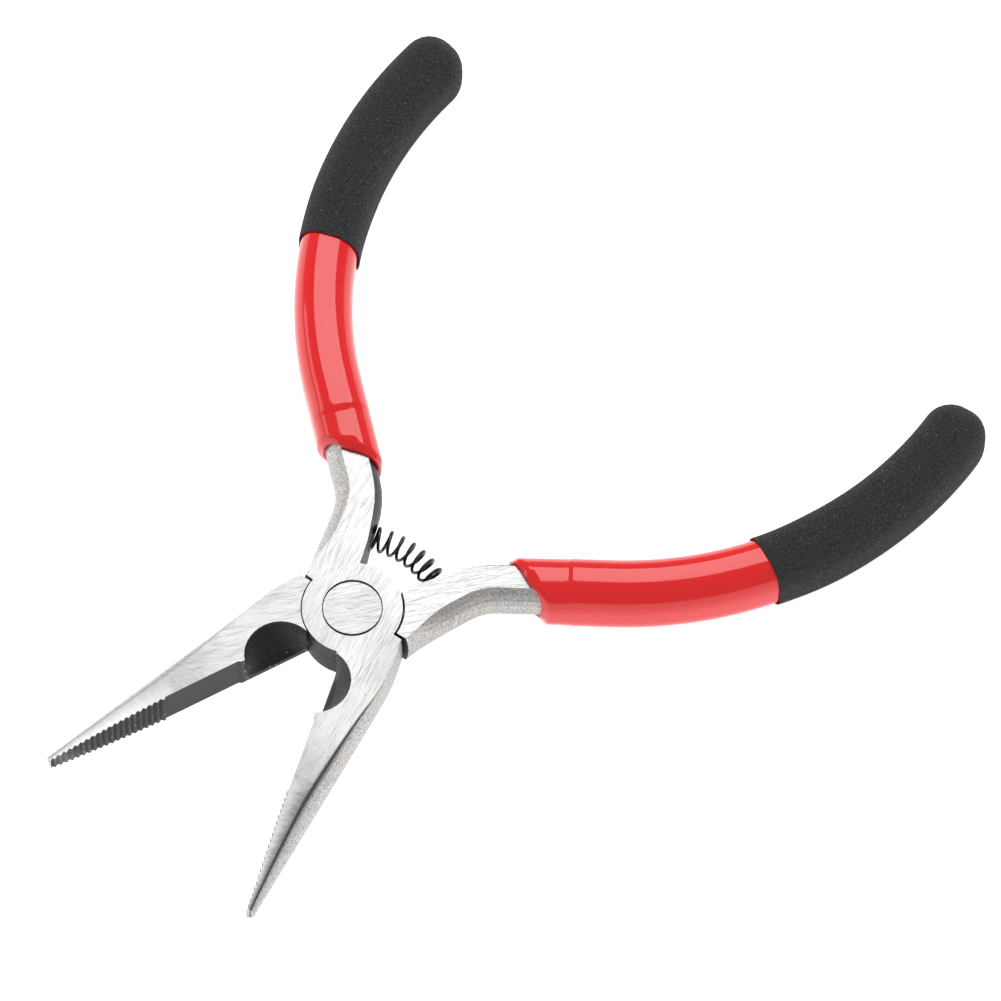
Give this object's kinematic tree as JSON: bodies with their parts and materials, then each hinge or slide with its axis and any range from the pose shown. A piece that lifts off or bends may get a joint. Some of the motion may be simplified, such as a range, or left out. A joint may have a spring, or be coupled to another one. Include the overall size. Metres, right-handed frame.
{
  "type": "long-nose pliers",
  "caption": "Small sprung long-nose pliers with a side cutter, a lap joint with a flush rivet, and double dipped handles.",
  "frame": {"origin": "centre of the pivot rivet's flush underside", "axes": "+Y towards the jaw tips, midway between the open jaws; +Z along the pivot, towards the upper half; +X to the upper half's handle side"},
  "size_m": [0.0972, 0.1163, 0.0108],
  "materials": {
    "ground_steel": "ground flat with fine scratches, black oxide left on the inner faces",
    "rivet_steel": "ground flush",
    "spring_wire": "black oxide wire",
    "red_dip": "glossy dipped vinyl",
    "black_dip": "matt textured dipped foam"
  },
  "bodies": {
    "lower_arm": {"lower_half": "ground_steel", "lower_red_sleeve": "red_dip", "lower_black_grip": "black_dip", "pivot_rivet": "rivet_steel", "return_spring": "spring_wire"},
    "upper_arm": {"upper_half": "ground_steel", "upper_red_sleeve": "red_dip", "upper_black_grip": "black_dip"}
  },
  "joints": [
    {"name": "pivot", "type": "hinge", "parent": "lower_arm", "child": "upper_arm", "pos_m": [0, 0, 0.0032], "axis": [0, 0, -1], "range_deg": [0, 43.6], "stiffness_Nm_per_rad": 0.12, "springref_deg": -14.32, "deforming": ["return_spring"]}
  ]
}
